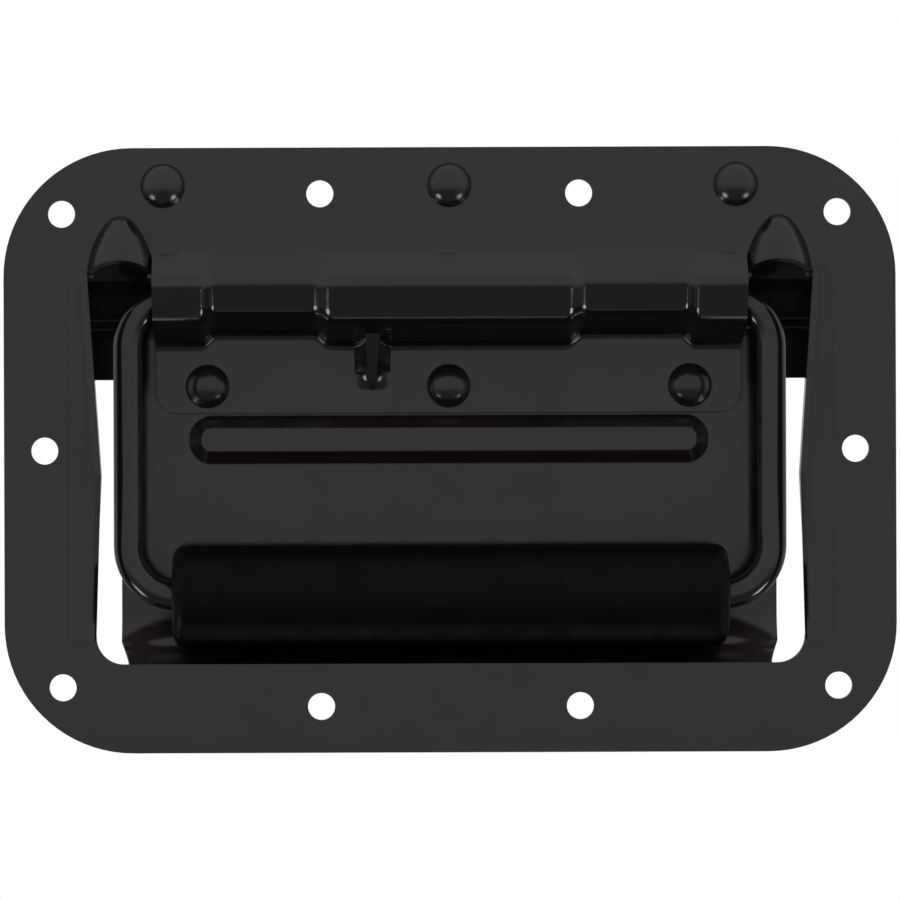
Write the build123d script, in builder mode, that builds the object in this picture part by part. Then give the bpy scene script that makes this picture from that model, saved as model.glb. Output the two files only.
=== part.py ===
from build123d import *
import os
from math import atan2, cos, pi, radians, sin, tan

# Recessed pull handle with a sprung bail, in millimetres.
# +X is right, +Z is up and the face looks towards -Y. The origin is the centre of the
# mounting flange, on its back face, which lies against the panel.
# Two pressed steel sheets are riveted together and hold a bent rod between them. The
# front one is flange, hinge barrel and tongue in one blank. The back one is the dish.

os.makedirs("parts", exist_ok=True)

# ---------------------------------------------------------------- driving dimensions
sheet = 1.2                 # thickness of both pressed sheets

flange_width = 177.8        # 7 in
flange_height = 120.65      # 4 3/4 in
flange_corner_r = 25.6
screw_hole_r = 2.7
corner_hole_inset_x = 11.6  # screw holes, in from the flange's edges
corner_hole_inset_z = 13.125
side_hole_inset = 8.1
edge_hole_inset = 9.225
edge_hole_x = 25.8          # holes in the top and bottom bands, from the middle

window_floor_z = -42.6      # lower edge of the window in the flange
window_corner_r = 5.4
window_foot = (70.6, -37.0)     # right-hand side of the window, from the bottom up
window_waist = (69.3, -5.0)
window_head = (72.0, 34.4)
shoulder_r = 1.8            # outside radius of the turned-back window lips
lip_depth = 3.2             # straight part of a lip behind its bend, at the head
lip_foot_turn = 14.0        # degrees that a lip is still turned at the foot
lip_seat = 3.0              # width of flange that is pressed together with the lip
lip_overrun = 1.0           # at both ends of a lip, into the flange

rod_r = 2.85                # the bail is one bent rod
hinge_y = 1.8
hinge_z = 30.5
bail_leg_x = 64.4
bail_bar_z = -29.2
bail_bend_r = 10.0
rod_end_gap = 3.0           # the rod's two ends meet inside the barrel
slot_width = 1.8            # slot across the sprung end of the rod
slot_depth = 3.4

grip_r = 10.25
grip_length = 110.8
grip_edge_r = 2.6
grip_fit = 0.05             # all round between the sleeve and the rod
grip_rest_gap = 0.3         # between the sleeve and the dish when the bail is shut

bearing_fit = 0.1           # all round between the rod and the barrel
spring_room = 2.15          # extra radius where the barrel houses the spring and bends
tongue_half = 59.2
end_zone_length = 9.3       # zones of the barrel, from each end: wide round the rod's bend,
end_blend_length = 3.2      # narrowing,
bearing_length = 19.0       # close round the rod,
spring_blend_length = 4.4   # and widening again to the zone that houses the spring
barrel_nose_z = 33.4        # ridge along the front of the barrel
barrel_crease_z = 39.8      # where the barrel rises out of the flange
barrel_front_tilt = 24.0    # degrees that the front below the ridge leans back
barrel_wall_tilt = 74.0     # the same for the wall under the barrel
crease_r = 2.0
nose_r = 2.6
foot_r = 2.0                # between the barrel's wall and the tongue
tongue_end_z = 7.4
tongue_corner_r = 4.6

hood_x = 65.6               # middle of the raised hood over each end of the hinge
hood_r = 6.9
hood_front_y = -6.3
hood_base_z = 34.6
hood_top_z = 47.2           # where the hood sinks into the flange
hood_mouth_z = 34.4         # lower edge of the hood, at the flange
hood_mouth_tilt = 29.0      # degrees that the edge climbs towards the front

dart_x = -15.4              # pressed dart that holds the spring's fixed leg
dart_width = 7.6            # across its foot, on the tongue
dart_ridge = 2.9            # across its ridge, where it meets the barrel
dart_foot_z = 12.2
dart_head_z = 22.9          # where its ridge has its full width
dart_tip_share = 0.35       # of the ridge's width that is left at the foot
dart_skin = 0.02            # shift that keeps the ridge clear of the tongue's own face
dart_rise = 0.65            # height gained for each millimetre up the tongue

dish_half = 66.2
dish_floor_half = 64.4
dish_taper_z = -38.6        # the dish narrows below this, towards its floor
dish_floor_z = -42.9
dish_floor_r = 10.3
dish_lip_end_z = -47.4      # lip spot-welded behind the lower band of the flange
lip_bend_r = 1.8
dish_outline_r = 1.5        # corners of its outline
wing_reach = 7.2            # wings, beyond the dish's sides, above the side slots
wing_foot_z = 14.3
wing_shoulder_z = 40.0
band_half = 64.5
band_foot_z = 49.0
band_top_inset = 2.425      # top of the band, below the flange's upper edge
back_turn_r = 2.2
nest_gap = 0.2              # between the two sheets where they run side by side
screw_clear_r = 3.5         # holes in the dish's band behind two of the flange's holes

rib_length = 105.0
rib_base = 9.7
rib_height = 1.6
rib_tilt = 58.0             # degrees that its sides lean in
rib_end_share = 0.46        # of its width, the radius of its ends
rib_z = 2.1

rivet_hole_r = 2.25
rivet_r = 2.2
rivet_head_r = 4.4
rivet_head_height = 2.9
rivet_rim_height = 0.3      # straight edge under the dome
rivet_tail_r = 3.6
rivet_tail_height = 1.2
rivet_tail_bevel = 0.4
upper_rivet_x = 57.1
upper_rivet_inset = 7.575   # below the flange's upper edge
lower_rivet_x = 48.7
lower_rivet_z = 12.9

wire_r = 0.7                # torsion spring
spring_turns = 8            # whole turns, besides the part turn from the leg to the tang
spring_pitch = 1.5
spring_end_turn = 0.04      # of a turn, past the tang
spring_fit = 0.12           # all round between the coil and the rod
spring_leg_tilt = 68.0      # degrees that the fixed leg's run under the barrel leans back
spring_leg_end_z = 15.5
spring_leg_bend_r = 1.6

# ---------------------------------------------------------------- derived dimensions
dish_y = hinge_y + grip_r + grip_rest_gap   # front face of the dish
rivet_hold = 2 * sheet                      # what a rivet clamps
tongue_y = dish_y - sheet                   # front face of the tongue, which lies on it
bearing_r = rod_r + bearing_fit + sheet     # outside of the barrel round the rod alone
housing_r = bearing_r + spring_room         # outside of it round the spring
corner_hole_x = flange_width / 2 - corner_hole_inset_x
corner_hole_z = flange_height / 2 - corner_hole_inset_z
side_hole_x = flange_width / 2 - side_hole_inset
edge_hole_z = flange_height / 2 - edge_hole_inset
upper_rivet_z = flange_height / 2 - upper_rivet_inset
band_top_z = flange_height / 2 - band_top_inset
wing_half = dish_half + wing_reach
clear_end_x = tongue_half - end_zone_length
bearing_outer_x = clear_end_x - end_blend_length
bearing_inner_x = bearing_outer_x - bearing_length
spring_zone_x = bearing_inner_x - spring_blend_length

# Zones along the hinge: start, end, and the barrel's outside radius at each.
zones = [
    (-clear_end_x, -bearing_outer_x, housing_r, bearing_r),
    (-bearing_outer_x, -bearing_inner_x, bearing_r, bearing_r),
    (-bearing_inner_x, -spring_zone_x, bearing_r, housing_r),
    (-spring_zone_x, spring_zone_x, housing_r, housing_r),
    (spring_zone_x, bearing_inner_x, housing_r, bearing_r),
    (bearing_inner_x, bearing_outer_x, bearing_r, bearing_r),
    (bearing_outer_x, clear_end_x, bearing_r, housing_r),
]


def from_hinge(distance, tilt, z=None, y=None):
    """Point at height z or depth y on the line that lies a distance in front of the
    hinge axis, and whose front is turned down by tilt degrees."""
    c = cos(radians(tilt))
    s = sin(radians(tilt))
    if y is None:
        y = hinge_y - (distance + (z - hinge_z) * s) / c
    else:
        z = hinge_z - (distance + (y - hinge_y) * c) / s
    return (y, z)


def barrel_section(x, outside_r):
    """Section of the front sheet at x: flange, ramp, barrel, wall and tongue."""
    middle_tilt = (barrel_front_tilt + barrel_wall_tilt) / 2
    half_turn = radians(barrel_wall_tilt - barrel_front_tilt) / 2
    reach = outside_r / cos(half_turn)
    nose = from_hinge(outside_r, barrel_front_tilt, z=barrel_nose_z)
    under = (
        hinge_y - reach * cos(radians(middle_tilt)),
        hinge_z - reach * sin(radians(middle_tilt)),
    )
    foot = from_hinge(outside_r, barrel_wall_tilt, y=tongue_y)
    with BuildSketch(Plane.YZ.offset(x)) as section:
        with BuildLine():
            FilletPolyline(
                (-sheet, barrel_crease_z + crease_r + 1),
                (-sheet, barrel_crease_z),
                nose,
                under,
                foot,
                (tongue_y, tongue_end_z),
                radius=[crease_r, nose_r, outside_r, foot_r],
            )
            offset(amount=sheet, side=Side.LEFT)
        make_face()
    return section.sketch


def eased(start, end, share):
    """Value between start and end that leaves and arrives gently, as a pressing does."""
    return start + (end - start) * share * share * (3 - 2 * share)


def press_zone(section_at, start, end, start_r, end_r):
    """Add one zone of a pressed sheet along the hinge, straight or blending in radius."""
    if start_r == end_r:
        extrude(section_at(start, start_r), amount=end - start)
    else:
        shares = (0, 0.25, 0.5, 0.75, 1)
        loft([section_at(start + (end - start) * s, eased(start_r, end_r, s)) for s in shares])


def dish_section(x, outside_r):
    """Section of the back sheet at x: band, slope, back of the hinge, dish, floor and lip.
    outside_r is the outside radius of the barrel in front of it."""
    inside_r = outside_r - sheet
    seat_y = hinge_y + inside_r
    slope_top_z = hinge_z + hinge_y + inside_r / cos(radians(45))
    slope_end_z = hinge_z + inside_r * tan(radians(22.5))
    wall_r = bearing_r - sheet - nest_gap
    turn = from_hinge(wall_r, barrel_wall_tilt, y=seat_y)
    foot = from_hinge(wall_r, barrel_wall_tilt, y=dish_y)
    with BuildSketch(Plane.YZ.offset(x)) as section:
        with BuildLine():
            FilletPolyline(
                (0, band_top_z),
                (0, slope_top_z),
                (seat_y, slope_end_z),
                turn,
                foot,
                (dish_y, dish_floor_z),
                (0, dish_floor_z),
                (0, dish_lip_end_z),
                radius=[
                    crease_r,
                    inside_r,
                    back_turn_r,
                    foot_r + sheet + nest_gap,
                    dish_floor_r,
                    lip_bend_r,
                ],
            )
            offset(amount=sheet, side=Side.LEFT)
        make_face()
    return section.sketch


def lip_section(side, edge_x, z, turn):
    """Section of a window lip at height z: flange, bend of the given turn, straight end."""
    straight = lip_depth * turn / 90
    bend_x = edge_x + shoulder_r * sin(radians(turn)) + straight * cos(radians(turn))
    with BuildSketch(Plane.XY.offset(z)) as section:
        with BuildLine():
            front = Line((side * (window_head[0] + lip_seat + 1), -sheet), (side * bend_x, -sheet))
            bend = JernArc(front @ 1, front % 1, shoulder_r, side * turn)
            Line(bend @ 1, bend @ 1 + bend % 1 * straight)
            offset(amount=sheet, side=Side.RIGHT if side < 0 else Side.LEFT)
        make_face()
    return section.sketch


def hood(side, radius, top_z, has_mouth):
    """Bullet-shaped nose over one end of the hinge, cut along a climbing edge if it has a
    mouth."""
    hood_y = hood_front_y + hood_r
    height = top_z - hood_base_z
    cap_r = radius * radius / height
    flank_r = ((height - cap_r) ** 2 + radius * radius - cap_r * cap_r) / (2 * (radius - cap_r))
    turn = atan2(height - cap_r, flank_r - radius)
    shoulder = (radius - flank_r + flank_r * cos(turn), hood_base_z + flank_r * sin(turn))
    lowest_z = hood_mouth_z - radius
    mouth_z = hood_mouth_z + 2 * radius * tan(radians(hood_mouth_tilt))
    with BuildPart() as nose:
        with BuildSketch(Plane(origin=(side * hood_x, hood_y, 0), x_dir=(1, 0, 0), z_dir=(0, -1, 0))):
            with BuildLine():
                Polyline((0, top_z), (0, lowest_z), (radius, lowest_z), (radius, hood_base_z))
                TangentArc((radius, hood_base_z), shoulder, tangent=(0, 1))
                TangentArc((0, top_z), shoulder, tangent=(1, 0))
            make_face()
        revolve(axis=Axis((side * hood_x, hood_y, 0), (0, 0, 1)))
        split(bisect_by=Plane.XZ, keep=Keep.TOP)
        if has_mouth:
            with BuildSketch(Plane.YZ.offset(side * hood_x)):
                with BuildLine():
                    Polyline(
                        (0, hood_mouth_z),
                        (-2 * radius, mouth_z),
                        (-2 * radius, lowest_z),
                        (0, lowest_z),
                        close=True,
                    )
                make_face()
            extrude(amount=2 * radius, both=True, mode=Mode.SUBTRACT)
    return nose.part


def dart(inset, head_z):
    """Wedge across the foot of the barrel, its ridge rising from the tongue to the barrel.
    The inset is how far its faces lie inside the pressed outside."""
    back_y = tongue_y + inset + 5 * dart_skin
    sections = []
    for z in (dart_foot_z + 2 * inset, head_z):
        height = dart_rise * (z - dart_foot_z)
        share = (z - dart_foot_z) / (dart_head_z - dart_foot_z)
        ridge = dart_ridge * (dart_tip_share + (1 - dart_tip_share) * share) / 2 - inset / 4
        front_y = tongue_y - height + inset - dart_skin
        foot = dart_width / 2 - inset * 0.8
        with BuildSketch(Plane.XY.offset(z)) as section:
            with BuildLine():
                Polyline(
                    (dart_x - foot, back_y),
                    (dart_x - ridge, front_y),
                    (dart_x + ridge, front_y),
                    (dart_x + foot, back_y),
                    close=True,
                )
            make_face()
        sections.append(section.sketch)
    with BuildPart() as wedge:
        loft(sections, ruled=True)
    return wedge.part


# ---------------------------------------------------------------- front frame
with BuildPart() as front_frame:
    # Hinge barrel and tongue, zone by zone
    extrude(barrel_section(-tongue_half, housing_r), amount=tongue_half - clear_end_x)
    for start, end, start_r, end_r in zones:
        press_zone(barrel_section, start, end, start_r, end_r)
    extrude(barrel_section(clear_end_x, housing_r), amount=tongue_half - clear_end_x)
    tongue_corners = front_frame.edges().filter_by(Axis.Y).group_by(Axis.Z)[0]
    fillet([tongue_corners.sort_by(Axis.X)[0], tongue_corners.sort_by(Axis.X)[-1]], tongue_corner_r)
    # Dart over the spring's fixed leg
    wall_middle = Plane(
        origin=(0, *from_hinge(housing_r - sheet / 2, barrel_wall_tilt, y=hinge_y)),
        z_dir=(0, -cos(radians(barrel_wall_tilt)), -sin(radians(barrel_wall_tilt))),
    )
    add(dart(0, hinge_z - bearing_r).split(wall_middle, keep=Keep.TOP))
    add(dart(sheet, hinge_z - bearing_r), mode=Mode.SUBTRACT)
    # Flange with its window
    with BuildSketch(Plane.XZ) as flange:
        RectangleRounded(flange_width, flange_height, flange_corner_r)
        with BuildLine():
            Polyline(
                (window_foot[0], window_floor_z),
                window_foot,
                (window_foot[0] + lip_seat, window_foot[1]),
                (window_waist[0] + lip_seat, window_waist[1]),
                (window_head[0] + lip_seat, window_head[1]),
                (tongue_half, window_head[1]),
                (tongue_half, barrel_crease_z),
                (-tongue_half, barrel_crease_z),
                (-tongue_half, window_head[1]),
                (-window_head[0] - lip_seat, window_head[1]),
                (-window_waist[0] - lip_seat, window_waist[1]),
                (-window_foot[0] - lip_seat, window_foot[1]),
                (-window_foot[0], window_foot[1]),
                (-window_foot[0], window_floor_z),
                close=True,
            )
        make_face(mode=Mode.SUBTRACT)
        floor_corners = flange.vertices().filter_by_position(
            Axis.Y, window_floor_z - 0.1, window_floor_z + 0.1
        )
        fillet(floor_corners, window_corner_r)
    extrude(amount=sheet)
    # Lips turned back along the sides of the window, flattening out towards the foot
    for side in (-1, 1):
        loft(
            [
                lip_section(side, window_foot[0], window_foot[1] - lip_overrun, lip_foot_turn),
                lip_section(side, window_waist[0], window_waist[1], 90),
                lip_section(side, window_head[0], window_head[1] + lip_overrun, 90),
            ],
            ruled=True,
        )
    # Hoods over the ends of the hinge
    for side in (-1, 1):
        add(hood(side, hood_r, hood_top_z, True))
    for side in (-1, 1):
        add(hood(side, hood_r - sheet, hood_top_z - sheet, False), mode=Mode.SUBTRACT)
    # Screw holes and rivet holes
    with BuildSketch(Plane.XZ):
        with GridLocations(2 * corner_hole_x, 2 * corner_hole_z, 2, 2):
            Circle(screw_hole_r)
        with GridLocations(2 * side_hole_x, 0, 2, 1):
            Circle(screw_hole_r)
        with GridLocations(2 * edge_hole_x, 2 * edge_hole_z, 2, 2):
            Circle(screw_hole_r)
    extrude(amount=sheet, mode=Mode.SUBTRACT)
    with BuildSketch(Plane.XZ):
        with Locations((0, upper_rivet_z)):
            with GridLocations(upper_rivet_x, 0, 3, 1):
                Circle(rivet_hole_r)
        with Locations((0, lower_rivet_z)):
            with GridLocations(lower_rivet_x, 0, 3, 1):
                Circle(rivet_hole_r)
    extrude(amount=2 * dish_y, both=True, mode=Mode.SUBTRACT)
front_frame.part.label = "front_frame"
export_step(front_frame.part, "parts/front_frame.step")

# ---------------------------------------------------------------- back plate
with BuildPart() as back_plate:
    extrude(dish_section(-wing_half, housing_r), amount=wing_half - clear_end_x)
    for start, end, start_r, end_r in zones:
        press_zone(dish_section, start, end, start_r, end_r)
    extrude(dish_section(clear_end_x, housing_r), amount=wing_half - clear_end_x)
    # Outline, with a wing on each side above the side slots
    with BuildSketch(Plane.XZ) as outline:
        with BuildLine():
            half = Polyline(
                (0, dish_lip_end_z),
                (dish_floor_half, dish_lip_end_z),
                (dish_floor_half, dish_floor_z),
                (dish_half, dish_taper_z),
                (dish_half, wing_foot_z),
                (wing_half, wing_foot_z),
                (wing_half, wing_shoulder_z),
                (band_half, band_foot_z),
                (band_half, band_top_z),
                (0, band_top_z),
            )
            mirror(half, about=Plane.YZ)
        make_face()
        fillet(outline.vertices().filter_by(lambda v: abs(v.X) > sheet), dish_outline_r)
    extrude(amount=3 * dish_y, both=True, mode=Mode.INTERSECT)
    # Long stiffening rib, raised towards the front and hollow behind
    with BuildSketch(Plane.XZ.offset(-dish_y)):
        with Locations((0, rib_z)):
            RectangleRounded(rib_length, rib_base, rib_base * rib_end_share)
    extrude(amount=rib_height, taper=rib_tilt)
    shrink = sheet * tan(radians(rib_tilt / 2))
    with BuildSketch(Plane.XZ.offset(-dish_y - sheet)):
        with Locations((0, rib_z)):
            RectangleRounded(
                rib_length - 2 * shrink,
                rib_base - 2 * shrink,
                rib_base * rib_end_share - shrink,
            )
    extrude(amount=rib_height, taper=rib_tilt, mode=Mode.SUBTRACT)
    with BuildSketch(Plane.XZ):
        with Locations((0, upper_rivet_z)):
            with GridLocations(upper_rivet_x, 0, 3, 1):
                Circle(rivet_hole_r)
        with Locations((0, lower_rivet_z)):
            with GridLocations(lower_rivet_x, 0, 3, 1):
                Circle(rivet_hole_r)
        with Locations((0, edge_hole_z)):
            with GridLocations(2 * edge_hole_x, 0, 2, 1):
                Circle(screw_clear_r)
    extrude(amount=2 * dish_y, both=True, mode=Mode.SUBTRACT)
back_plate.part.label = "back_plate"
export_step(back_plate.part, "parts/back_plate.step")

# ---------------------------------------------------------------- bail
with BuildPart() as bail:
    with BuildLine(Plane.XZ.offset(-hinge_y)) as rod_path:
        FilletPolyline(
            (rod_end_gap / 2, hinge_z),
            (bail_leg_x, hinge_z),
            (bail_leg_x, bail_bar_z),
            (-bail_leg_x, bail_bar_z),
            (-bail_leg_x, hinge_z),
            (-rod_end_gap / 2, hinge_z),
            radius=bail_bend_r,
        )
    with BuildSketch(Plane.YZ.offset(rod_end_gap / 2)):
        with Locations((hinge_y, hinge_z)):
            Circle(rod_r)
    sweep()
    # Slot across the sprung end for the spring's tang
    with BuildSketch(Plane.XZ.offset(-hinge_y)):
        with Locations((-rod_end_gap / 2, hinge_z)):
            Rectangle(slot_depth, slot_width, align=(Align.MAX, Align.CENTER))
    extrude(amount=2 * rod_r, both=True, mode=Mode.SUBTRACT)
bail.part.label = "bail"
export_step(bail.part, "parts/bail.step")

# ---------------------------------------------------------------- grip
with BuildPart() as grip:
    with BuildSketch(Plane.YZ):
        with Locations((hinge_y, bail_bar_z)):
            Circle(grip_r)
            Circle(rod_r + grip_fit, mode=Mode.SUBTRACT)
    extrude(amount=grip_length / 2, both=True)
    rims = grip.edges().filter_by(GeomType.CIRCLE).filter_by(lambda e: e.radius > rod_r + grip_fit + 0.01)
    fillet(rims, grip_edge_r)
grip.part.label = "grip"
export_step(grip.part, "parts/grip.step")

# ---------------------------------------------------------------- torsion spring
coil_r = rod_r + spring_fit + wire_r
leg_turn = radians(spring_leg_tilt)
leg_y = dish_y - wire_r - spring_fit
leg_run = (leg_y - hinge_y + coil_r * cos(leg_turn)) / sin(leg_turn)
coil_start_x = dart_x + leg_run * spring_pitch / (2 * pi * coil_r)
coil_turns = spring_turns + spring_leg_tilt / 360
coil_plane = Plane(
    origin=(coil_start_x, hinge_y, hinge_z),
    x_dir=(0, -cos(leg_turn), -sin(leg_turn)),
    z_dir=(1, 0, 0),
)
with BuildPart() as torsion_spring:
    # Coil, with its fixed leg running off it under the barrel and down behind the dart
    with BuildLine() as coil_line:
        Helix(spring_pitch, (coil_turns + spring_end_turn) * spring_pitch, coil_r, lefthand=True)
    coil = coil_line.edge().moved(coil_plane.location)
    knee = coil @ 0 - coil % 0 * (leg_run * sin(leg_turn) / abs((coil % 0).Y))
    with BuildLine() as leg_line:
        FilletPolyline((knee.X, leg_y, spring_leg_end_z), knee, coil @ 0, radius=spring_leg_bend_r)
    wire_path = Wire([*leg_line.edges(), coil])
    with BuildSketch(Plane(origin=wire_path @ 0, z_dir=wire_path % 0)):
        Circle(wire_r)
    sweep(path=wire_path)
    # Tang through the slot in the rod
    with BuildSketch(Plane.XZ.offset(coil_r - hinge_y)):
        with Locations((coil_start_x + coil_turns * spring_pitch, hinge_z)):
            Circle(wire_r)
    extrude(amount=-(coil_r + rod_r))
torsion_spring.part.label = "torsion_spring"
export_step(torsion_spring.part, "parts/torsion_spring.step")

# ---------------------------------------------------------------- rivets
rivet_seats = []
for name, x in (("left", -1), ("centre", 0), ("right", 1)):
    rivet_seats.append(("rivet_upper_" + name, x * upper_rivet_x, upper_rivet_z, -sheet))
    rivet_seats.append(("rivet_lower_" + name, x * lower_rivet_x, lower_rivet_z, tongue_y))
for name, x, z, seat_y in rivet_seats:
    with BuildPart() as rivet:
        with BuildSketch(Plane(origin=(x, seat_y, z), x_dir=(1, 0, 0), z_dir=(0, 0, -1))):
            with BuildLine():
                Polyline(
                    (0, rivet_head_height),
                    (0, -rivet_hold - rivet_tail_height),
                    (rivet_tail_r - rivet_tail_bevel, -rivet_hold - rivet_tail_height),
                    (rivet_tail_r, -rivet_hold),
                    (rivet_r, -rivet_hold),
                    (rivet_r, 0),
                    (rivet_head_r, 0),
                    (rivet_head_r, rivet_rim_height),
                )
                TangentArc((0, rivet_head_height), (rivet_head_r, rivet_rim_height), tangent=(1, 0))
            make_face()
        revolve(axis=Axis((x, seat_y, z), (0, 1, 0)))
    rivet.part.label = name
    export_step(rivet.part, "parts/" + name + ".step")
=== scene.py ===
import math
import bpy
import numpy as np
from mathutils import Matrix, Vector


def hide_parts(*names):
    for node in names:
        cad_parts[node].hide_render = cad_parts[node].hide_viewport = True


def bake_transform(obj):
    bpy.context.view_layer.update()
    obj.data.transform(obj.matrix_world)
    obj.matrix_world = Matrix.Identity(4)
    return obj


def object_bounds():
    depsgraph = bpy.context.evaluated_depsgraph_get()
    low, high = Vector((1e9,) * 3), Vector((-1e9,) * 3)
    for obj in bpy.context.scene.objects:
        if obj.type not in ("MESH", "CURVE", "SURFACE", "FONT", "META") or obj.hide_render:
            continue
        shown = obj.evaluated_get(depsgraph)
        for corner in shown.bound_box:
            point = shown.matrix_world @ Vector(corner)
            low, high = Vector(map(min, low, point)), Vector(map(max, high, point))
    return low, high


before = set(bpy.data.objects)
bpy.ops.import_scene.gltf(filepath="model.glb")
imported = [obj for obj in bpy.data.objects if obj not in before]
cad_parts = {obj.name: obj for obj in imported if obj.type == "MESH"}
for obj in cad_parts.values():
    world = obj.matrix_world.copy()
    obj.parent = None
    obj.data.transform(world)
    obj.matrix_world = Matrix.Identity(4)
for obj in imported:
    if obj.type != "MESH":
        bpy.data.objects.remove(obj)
cad_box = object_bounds()

# %% [markdown]
# # Recessed pull handle
#
# Two pressed steel sheets, coated gloss black, are riveted together. Between them they hold
# a bent rod, the bail, with a rubber grip on its lower bar. A torsion spring in the middle
# of the hinge barrel pulls the bail back into the dish.
#
# Everything is in metres, in the frame of the CAD solids: +X right, +Z up, the face looks
# towards -Y, and the flange's back face lies in the plane y = 0. The solids already have the
# object's real shapes, so the cells below give them finishes. Only the spring is made anew,
# because a rigid solid can't wind up. The first cell holds the imports and the one function
# that turns a colour as it is written into the linear light that Blender reckons in.

MM = 0.001


def linear(hex_colour):
    """Linear RGBA of an sRGB hex colour.

    A channel c up to 0.04045 becomes c / 12.92, and above that ((c + 0.055) / 1.055) ** 2.4.
    """
    channels = [int(hex_colour[i:i + 2], 16) / 255 for i in (1, 3, 5)]
    rgb = [c / 12.92 if c <= 0.04045 else ((c + 0.055) / 1.055) ** 2.4 for c in channels]
    return (*rgb, 1.0)


print("solids:", ", ".join(sorted(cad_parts)))

# %% [markdown]
# ## Adding nodes
#
# A material is a Principled shader with a few nodes in front of it. Nodes can be added and
# linked one by one, which takes many lines. One small function does it in a single call, so
# that a finish reads as a list of steps.

# %% Node helper


def add_node(tree, kind, inputs=(), **settings):
    """Add a node. The inputs pair socket names or numbers with constants or outputs."""
    node = tree.nodes.new(kind)
    for name, value in settings.items():
        setattr(node, name, value)
    for socket, value in dict(inputs).items():
        if isinstance(value, bpy.types.NodeSocket):
            tree.links.new(value, node.inputs[socket])
        else:
            node.inputs[socket].default_value = value
    return node


def new_material(name, **inputs):
    """A named material, with its tree, its shader and the point in the frame's metres."""
    material = bpy.data.materials.new(name)
    material.use_nodes = True
    tree = material.node_tree
    shader = tree.nodes["Principled BSDF"]
    for socket, value in inputs.items():
        shader.inputs[socket.replace("_", " ")].default_value = value
    return material, tree, shader, add_node(tree, "ShaderNodeTexCoord").outputs["Object"]


print("one millimetre is", MM, "m, in every node below")

# %% [markdown]
# ## Patches, colours and grain
#
# No real finish is even. Slow noise, stretched so that it fills its range, moves a colour or
# the roughness between two values, and fine noise raises a grain. Every size is in
# millimetres on the object.

# %% Uneven finishes


def patches(tree, position, size_mm, detail, low, high):
    """Noise with features about size_mm across, its middle, 0.3 to 0.7, stretched to low to
    high and clamped there."""
    inputs = {"Vector": position, "Scale": 1 / (size_mm * MM), "Detail": detail}
    value = add_node(tree, "ShaderNodeTexNoise", inputs).outputs["Fac"]
    inputs = {"Value": value, "From Min": 0.3, "From Max": 0.7, "To Min": low, "To Max": high}
    return add_node(tree, "ShaderNodeMapRange", inputs).outputs["Result"]


def patchy_colour(tree, position, size_mm, first, second):
    """Colour that wanders between two sRGB hex colours."""
    share = patches(tree, position, size_mm, 3.0, 0.0, 1.0)
    inputs = {0: share, 6: linear(first), 7: linear(second)}
    return add_node(tree, "ShaderNodeMix", inputs, data_type="RGBA").outputs[2]


def raise_grain(tree, shader, position, size_mm, detail, depth_mm, under=()):
    """Bump the shader's surface: height = depth_mm times noise about size_mm across.

    What lies under it may give a normal of its own.
    """
    inputs = {"Vector": position, "Scale": 1 / (size_mm * MM), "Detail": detail}
    height = add_node(tree, "ShaderNodeTexNoise", inputs).outputs["Fac"]
    inputs = {"Height": height, "Distance": depth_mm * MM, "Strength": 1.0, **dict(under)}
    bumped = add_node(tree, "ShaderNodeBump", inputs).outputs["Normal"]
    tree.links.new(bumped, shader.inputs["Normal"])


def share_along(tree, position, axis, start_mm, end_mm, both_sides=False):
    """Share from 0 to 1 as the place along an axis goes from start to end, clamped."""
    place = add_node(tree, "ShaderNodeSeparateXYZ", {0: position}).outputs[axis]
    if both_sides:
        place = add_node(tree, "ShaderNodeMath", {0: place}, operation="ABSOLUTE").outputs[0]
    inputs = {"Value": place, "From Min": start_mm * MM, "From Max": end_mm * MM}
    return add_node(tree, "ShaderNodeMapRange", inputs).outputs["Result"]


def finish_node(node, material):
    """Give a CAD solid a material in every slot."""
    piece = bpy.data.objects[node]
    if not piece.material_slots:
        piece.data.materials.append(material)
    for slot in piece.material_slots:
        slot.material = material
    print(node, "has", material.name)


# %% [markdown]
# ## Gloss black coating
#
# The sheets and the rod are pressed and bent mild steel under a thin gloss black baked
# coating. It follows the steel's slight waviness, so reflections wobble over a few
# millimetres, and dust and handling leave the gloss uneven. To the eye it is nearly all
# reflection: black in corners that see little light, grey on faces that see the tent.
#
# A clearcoat over a dark base would do as well. One layer with a driven gloss is enough,
# because the base is black already. It also carries painted shade: the gloss fades where
# ambient occlusion finds the sheet closed in, which darkens corners and recesses.

# %% Coated steel
# painted shade: the gloss follows the openness that ambient occlusion finds, so corners and recesses
# are darkened
open_gloss = 0.39           # specular level on an open face
closed_to_open = 0.08, 0.40     # openness at which the gloss is none, and full
corner_reach = 14 * MM      # how far off a wall still takes light away
edge_r = 0.35 * MM          # radius that the coating gives to cut edges
hood_shade_z = 10, 15       # the hoods' painted shade lies on the dish above this, in mm
hood_shade_x = 60, 61       # and beyond this on either side
hood_shade_gloss = 0.06     # the share of the gloss that is left there
# painted reflection: the brownish tone that the curved lower corners mirror, painted into their
# colour
painted_reflection_z = -33, -37           # the dish's lower corners show a painted brownish reflection below this
painted_reflection_x = 52, 60             # and beyond this on either side
painted_reflection_colour = "#2f2927"


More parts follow.
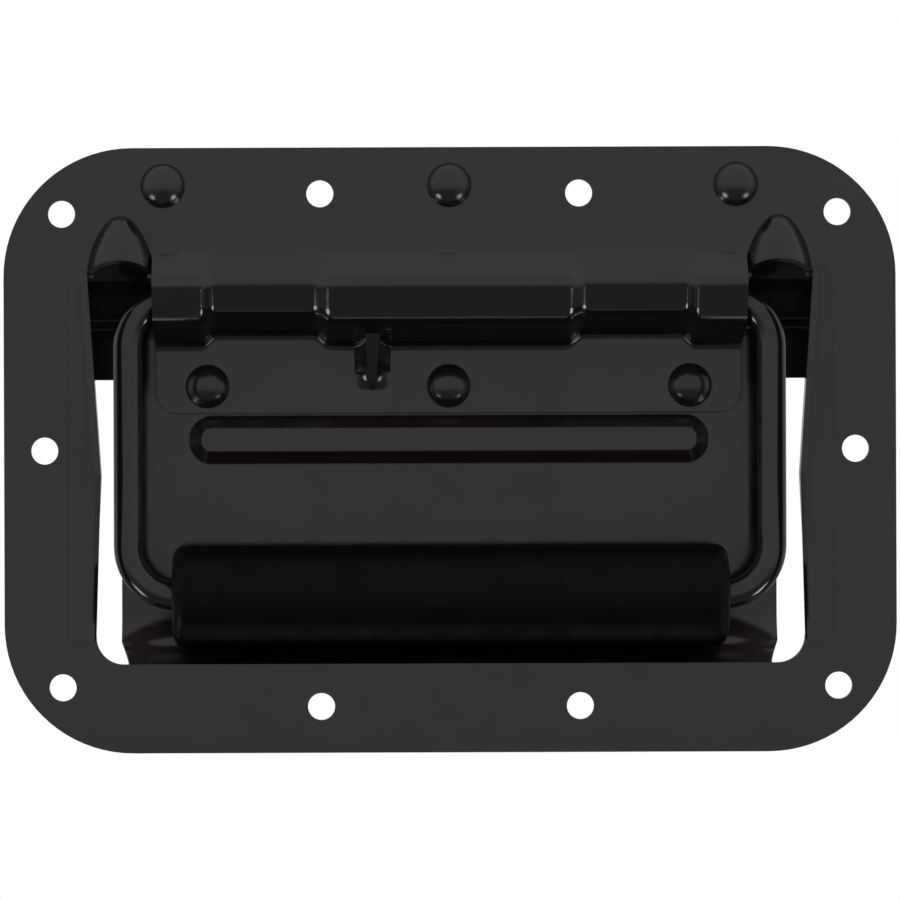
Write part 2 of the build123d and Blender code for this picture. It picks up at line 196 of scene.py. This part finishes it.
def coated_steel(
    name, base, worn, wave_mm, wave_depth_mm=0.006, matt=0.09, edges_behind_mm=-20, shaded=False
):
    """Gloss coating over pressed steel, wandering from base to worn.

    gloss = open_gloss times the stretched openness, so that ambient occlusion paints shade
    into corners and recesses. Cut edges are rounded off behind the given depth. A shaded
    sheet also has painted shade in its two upper outer corners, behind the hoods, where its
    gloss is cut, and a painted brownish reflection colours its lower two.
    """
    material, tree, shader, position = new_material(name, IOR=1.5)
    colour = patchy_colour(tree, position, 14, base, worn)
    # painted shade: ambient occlusion cuts the gloss in corners and recesses
    seen = add_node(tree, "ShaderNodeAmbientOcclusion", {"Distance": corner_reach}, samples=6)
    closed, opened = closed_to_open
    inputs = {"Value": seen.outputs["AO"], "From Min": closed, "From Max": opened}
    inputs.update({"To Min": 0.0, "To Max": open_gloss})
    gloss = add_node(tree, "ShaderNodeMapRange", inputs).outputs["Result"]
    # painted shade: behind the hoods the gloss is cut down to the hood_shade_gloss share
    if shaded:
        upper = share_along(tree, position, "Z", *hood_shade_z)
        outer = share_along(tree, position, "X", *hood_shade_x, both_sides=True)
        corner = add_node(tree, "ShaderNodeMath", {0: upper, 1: outer}, operation="MULTIPLY")
        inputs = {"Value": corner.outputs[0], "To Min": 1.0, "To Max": hood_shade_gloss}
        hood_painted_shade_share = add_node(tree, "ShaderNodeMapRange", inputs).outputs["Result"]
        gloss = add_node(tree, "ShaderNodeMath", {0: gloss, 1: hood_painted_shade_share}, operation="MULTIPLY").outputs[0]
        # painted reflection: the lower outer corners take a brownish mirrored tone in their colour
        lower = share_along(tree, position, "Z", *painted_reflection_z)
        outer = share_along(tree, position, "X", *painted_reflection_x, both_sides=True)
        corner = add_node(tree, "ShaderNodeMath", {0: lower, 1: outer}, operation="MULTIPLY")
        inputs = {0: corner.outputs[0], 6: colour, 7: linear(painted_reflection_colour)}
        colour = add_node(tree, "ShaderNodeMix", inputs, data_type="RGBA").outputs[2]
    tree.links.new(colour, shader.inputs["Base Color"])
    tree.links.new(patches(tree, position, 6, 3.0, matt, 2 * matt), shader.inputs["Roughness"])
    tree.links.new(gloss, shader.inputs["Specular IOR Level"])
    behind = share_along(tree, position, "Y", edges_behind_mm, edges_behind_mm + 0.5)
    flat = add_node(tree, "ShaderNodeNewGeometry").outputs["Normal"]
    rounded_off = add_node(tree, "ShaderNodeBevel", {"Radius": edge_r}, samples=6).outputs[0]
    inputs = {0: behind, 4: flat, 5: rounded_off}
    normal = add_node(tree, "ShaderNodeMix", inputs, data_type="VECTOR").outputs[1]
    raise_grain(tree, shader, position, wave_mm, 1.0, wave_depth_mm, {"Normal": normal})
    return material


frame_coat = coated_steel("gloss_black_coating_front", "#121012", "#161416", 16, edges_behind_mm=8)
dish_coat = coated_steel("gloss_black_coating_dish", "#140f0f", "#181312", 22, shaded=True)
rod_coat = coated_steel("gloss_black_coating_rod", "#121011", "#161314", 7, wave_depth_mm=0.005)
rivet_coat = coated_steel("gloss_black_coating_rivet", "#121011", "#161314", 4, matt=0.16)

# %% [markdown]
# ## Coated pieces
#
# The front sheet, the sheet behind it, the rod and the six domed rivets have the same
# coating, each with its own wave length. The rivets are a little matter, because their heads
# were hammered over.

# %% Coat the solids
finish_node("front_frame", frame_coat)
finish_node("back_plate", dish_coat)
finish_node("bail", rod_coat)
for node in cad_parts:
    if node.startswith("rivet"):
        finish_node(node, rivet_coat)

# %% [markdown]
# ## Grip
#
# The grip is a moulded sleeve of soft black rubber. Rubber scatters what little light it
# returns, so it has nearly no gloss, and a fine grain. Real moulding grain is too fine to
# show, so it is drawn at a third of a millimetre.

# %% Rubber
rubber, tree, shader, position = new_material("black_grip_rubber", IOR=1.4, Specular_IOR_Level=0.10)
colour = patchy_colour(tree, position, 9, "#030303", "#060606")
tree.links.new(colour, shader.inputs["Base Color"])
tree.links.new(patches(tree, position, 5, 4.0, 0.42, 0.58), shader.inputs["Roughness"])
raise_grain(tree, shader, position, 0.35, 4.0, 0.02)
finish_node("grip", rubber)

# %% [markdown]
# ## Spring wire
#
# The spring is drawn steel wire, left bare and oiled: a dark metal with a soft shine.

# %% Oiled wire
wire, tree, shader, position = new_material("oiled_spring_wire", Metallic=1.0, Roughness=0.35)
colour = patchy_colour(tree, position, 3, "#3a3836", "#5a5652")
tree.links.new(colour, shader.inputs["Base Color"])
raise_grain(tree, shader, position, 0.5, 2.0, 0.01)
print(wire.name, "has", len(tree.nodes), "nodes")

# %% [markdown]
# ## Torsion spring
#
# On the real object the spring's leg rests behind the dart, its coil lies round the rod in
# the barrel, and a tang sits in a slot of the rod, so it winds up as the bail opens. A screw
# modifier could make the coil, but not the leg and the tang in one piece with it. Here the
# wire's whole path is worked out first: a leg, a rounded knee, a helix, and the tang.

# %% Path of the wire
hinge = np.array([0.0, 1.8, 30.5]) * MM
wire_r = 0.7 * MM
coil_r = 3.67 * MM
coil_pitch = 1.5 * MM
coil_turns = 8
leg_turn = math.radians(68)         # where on the coil the leg leaves it
leg_foot = np.array([-15.4, 11.53, 15.5]) * MM
knee_bend = 1.6 * MM
tang_bend = 0.75 * MM
tang_reach = 2.85 * MM              # how far the tang goes past the hinge's axis


def rounded(before, corner, after, reach, steps=10):
    """Points that round a corner, starting and ending at reach from it.

    They lie on a parabola: (1 - t)^2 times its start, plus 2 t (1 - t) times the corner,
    plus t^2 times its end, for t from 0 to 1.
    """
    start = corner + (before - corner) / np.linalg.norm(before - corner) * reach
    end = corner + (after - corner) / np.linalg.norm(after - corner) * reach
    t = np.linspace(0, 1, steps)[:, None]
    return (1 - t) ** 2 * start + 2 * t * (1 - t) * corner + t ** 2 * end


def helix(start_x, turns, steps_per_turn=44):
    """Helix round the hinge: the angle falls by a full turn while x grows by one pitch."""
    t = np.linspace(0, turns, int(turns * steps_per_turn))
    angle = leg_turn - 2 * math.pi * t
    x = start_x + coil_pitch * t
    return np.stack([x, hinge[1] - coil_r * np.cos(angle), hinge[2] - coil_r * np.sin(angle)], axis=1)


leg_run = (leg_foot[1] - hinge[1] + coil_r * math.cos(leg_turn)) / math.sin(leg_turn)
coil_start_x = leg_foot[0] + leg_run * coil_pitch / (2 * math.pi * coil_r)
tang_turns = coil_turns + leg_turn / (2 * math.pi)
bend_turns = math.asin(tang_bend / coil_r) / (2 * math.pi)
coil = helix(coil_start_x, tang_turns - bend_turns)
knee = np.array([leg_foot[0], leg_foot[1], coil[0][2] - leg_run * math.cos(leg_turn)])
tang_x = coil_start_x + coil_pitch * tang_turns
tang_corner = np.array([tang_x, hinge[1] - coil_r, hinge[2]])
tang_end = np.array([tang_x, hinge[1] + tang_reach, hinge[2]])
wire_path = np.vstack([
    leg_foot[None, :],
    rounded(leg_foot, knee, coil[0], knee_bend),
    coil,
    rounded(coil[-1], tang_corner, tang_end, tang_bend, 7)[1:],
    tang_end[None, :],
])
wire_length = np.linalg.norm(np.diff(wire_path, axis=0), axis=1).sum()
print("wire:", len(wire_path), "points,", round(wire_length / MM), "mm long")

# %% [markdown]
# ## Sweeping the wire
#
# A round profile carried along the path gives the wire. A curve with a bevel would do the
# same. Worked out as one grid, ring by ring, it needs no conversion, and its ends are closed
# by two faces.

# %% Wire swept along its path


def swept_tube(path, radius, sides=14):
    """Tube along a path: centre + radius (cos a times side + sin a times other).

    The direction called side is square to the path and to the x axis, which the path never
    runs along, and the direction called other is square to both side and path.
    """
    along = np.gradient(path, axis=0)
    along /= np.linalg.norm(along, axis=1, keepdims=True)
    side = np.cross(along, [1.0, 0.0, 0.0])
    side /= np.linalg.norm(side, axis=1, keepdims=True)
    other = np.cross(along, side)
    turn = np.linspace(0, 2 * math.pi, sides, endpoint=False)[None, :, None]
    round_it = np.cos(turn) * side[:, None, :] + np.sin(turn) * other[:, None, :]
    vertices = (path[:, None, :] + radius * round_it).reshape(-1, 3)
    ring, place = np.meshgrid(np.arange(len(path) - 1), np.arange(sides), indexing="ij")
    here = ring * sides + place
    beside = ring * sides + (place + 1) % sides
    quads = np.stack([here, beside, beside + sides, here + sides], axis=-1).reshape(-1, 4)
    first_end = list(range(sides))[::-1]
    last_end = list(range(len(vertices) - sides, len(vertices)))
    return vertices, quads.tolist() + [first_end, last_end]


vertices, faces = swept_tube(wire_path, wire_r)
mesh = bpy.data.meshes.new("spring_wire")
mesh.from_pydata(vertices.tolist(), [], faces)
mesh.polygons.foreach_set("use_smooth", [len(face) == 4 for face in faces])
mesh.materials.append(wire)
spring = bpy.data.objects.new("spring_wire", mesh)
bpy.context.scene.collection.objects.link(spring)
print("spring_wire:", len(vertices), "vertices,", len(faces), "faces")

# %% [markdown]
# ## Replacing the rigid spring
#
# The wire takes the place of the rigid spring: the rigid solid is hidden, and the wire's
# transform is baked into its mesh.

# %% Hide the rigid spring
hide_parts("torsion_spring")
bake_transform(spring)

# %% [markdown]
# ## Floor
#
# A pale floor lies under the flange's lower edge. The camera sees it as plain white. It is
# clear to mirrored rays, so that the coating shows the light tent and not the floor, and for
# all other light it is a matt pale tone, which keeps the shade that the object casts.

# %% Pale floor
floor_gap = 0.5 * MM
floor_half = 1.5            # the floor's reach to the sides and to the front
floor_rear = 0.35
floor_z = cad_box[0][2] - floor_gap

pale, tree, shader, position = new_material("pale_floor", Roughness=0.9, Specular_IOR_Level=0.0)
shader.inputs["Base Color"].default_value = linear("#d8d8d8")
path = add_node(tree, "ShaderNodeLightPath").outputs
white = add_node(tree, "ShaderNodeEmission", {"Color": (1, 1, 1, 1), "Strength": 1.0})
clear = add_node(tree, "ShaderNodeBsdfTransparent")
inputs = {0: path["Is Camera Ray"], 1: shader.outputs[0], 2: white.outputs[0]}
seen = add_node(tree, "ShaderNodeMixShader", inputs)
inputs = {0: path["Is Glossy Ray"], 1: seen.outputs[0], 2: clear.outputs[0]}
mirrored = add_node(tree, "ShaderNodeMixShader", inputs)
tree.links.new(mirrored.outputs[0], tree.nodes["Material Output"].inputs["Surface"])

mesh = bpy.data.meshes.new("floor")
corners = [
    (-floor_half, -floor_half, floor_z),
    (floor_half, -floor_half, floor_z),
    (floor_half, floor_rear, floor_z),
    (-floor_half, floor_rear, floor_z),
]
mesh.from_pydata(corners, [], [(0, 1, 2, 3)])
mesh.materials.append(pale)
floor = bpy.data.objects.new("floor", mesh)
bpy.context.scene.collection.objects.link(floor)
print("floor at z =", round(floor_z / MM, 2), "mm")

# %% [markdown]
# ## Light tent
#
# Lamps could light the object, but a gloss black coating shows little more than what it
# mirrors, and lamps would leave it black between their spots. So the world is a light tent
# whose tone depends on the direction alone. It is even and white in front, above and to the
# sides, fades behind the object, and is darker below. Two glows low on the left and the
# right, and one straight below, put the short bright marks on bends, rod and rivet heads.
# The camera sees the tent as plain white.

# %% World
world = bpy.data.worlds.new("light_tent")
world.use_nodes = True
bpy.context.scene.world = world
tree = world.node_tree
tree.nodes.clear()
direction = add_node(tree, "ShaderNodeTexCoord").outputs["Generated"]


def tone_along(axis, start, end, low, high):
    """Tone that goes smoothly from low to high while a part of the direction goes from
    start to end."""
    part = add_node(tree, "ShaderNodeSeparateXYZ", {0: direction}).outputs[axis]
    inputs = {"Value": part, "From Min": start, "From Max": end, "To Min": low, "To Max": high}
    smooth = add_node(tree, "ShaderNodeMapRange", inputs, interpolation_type="SMOOTHSTEP")
    return smooth.outputs["Result"]


def lamp_glow(towards, half_angle, strength):
    """Round soft glow in a direction, full inside half the angle and gone outside it.

    The cosine of the angle to its middle is the two directions' dot product.
    """
    aim = Vector(towards).normalized()
    facing = add_node(tree, "ShaderNodeVectorMath", {0: direction, 1: aim}, operation="DOT_PRODUCT")
    edge = math.cos(math.radians(half_angle))
    core = math.cos(math.radians(half_angle / 2))
    inputs = {"Value": facing.outputs["Value"], "From Min": edge, "From Max": core}
    inputs.update({"To Min": 0.0, "To Max": strength})
    smooth = add_node(tree, "ShaderNodeMapRange", inputs, interpolation_type="SMOOTHSTEP")
    return smooth.outputs["Result"]


tone_behind = 0.55
tone_below = 0.28
behind = tone_along("Y", -0.35, 1.0, 1.0, tone_behind)
below = tone_along("Z", -0.52, -0.07, tone_below, 1.0)
tent_tone = add_node(tree, "ShaderNodeMath", {0: behind, 1: below}, operation="MULTIPLY").outputs[0]
glows = (
    ((-0.67, -0.25, -0.70), 11, 11.5),
    ((0.67, -0.25, -0.70), 11, 11.5),
    ((0.0, 0.05, -1.0), 15, 1.8),
)
for towards, half_angle, strength in glows:
    inputs = {0: tent_tone, 1: lamp_glow(towards, half_angle, strength)}
    tent_tone = add_node(tree, "ShaderNodeMath", inputs, operation="ADD").outputs[0]
print("light tent with", len(glows), "glows")

# %% [markdown]
# ## White background
#
# Light Path tells which ray asks. What the camera sees, and what would be seen through
# glass, is plain white. All the rest sees the tent, so the background costs the object no
# even light.

# %% Background
inputs = {"Color": linear("#fbf6fb"), "Strength": tent_tone}
tent = add_node(tree, "ShaderNodeBackground", inputs)
inputs = {"Color": (1, 1, 1, 1), "Strength": 1.0}
white = add_node(tree, "ShaderNodeBackground", inputs)
path = add_node(tree, "ShaderNodeLightPath").outputs
inputs = {0: path["Is Camera Ray"], 1: path["Is Transmission Ray"]}
plain = add_node(tree, "ShaderNodeMath", inputs, operation="MAXIMUM").outputs[0]
inputs = {0: plain, 1: tent.outputs[0], 2: white.outputs[0]}
both = add_node(tree, "ShaderNodeMixShader", inputs)
add_node(tree, "ShaderNodeOutputWorld", {"Surface": both.outputs[0]})
print(world.name, "has", len(tree.nodes), "nodes")

# %% [markdown]
# ## Camera
#
# The camera looks straight at the flange from about 0.9 m. It stands a little left of the
# middle, and its frame is shifted back, which keeps the flange square to the view while the
# hollows show slightly more of their right sides. It is turned by a fifth of a degree.

# %% Camera
scene = bpy.context.scene
camera_data = bpy.data.cameras.new("camera")
camera = bpy.data.objects.new("camera", camera_data)
scene.collection.objects.link(camera)
scene.camera = camera

distance = 0.9
aside = -17 * MM
camera_turn = math.radians(0.2)
view_width = 179.605 * MM   # what the frame takes in at the flange
camera_data.sensor_width = 36
camera_data.lens = camera_data.sensor_width * distance / view_width
camera_data.shift_x = -aside / view_width
camera_data.clip_start = 0.01
camera_data.clip_end = 20
camera.location = (aside, -distance, 0.0)
camera.rotation_euler = (math.radians(90), camera_turn, 0)
scene.view_settings.view_transform = "Standard"
print("focal length:", round(camera_data.lens, 1), "mm")
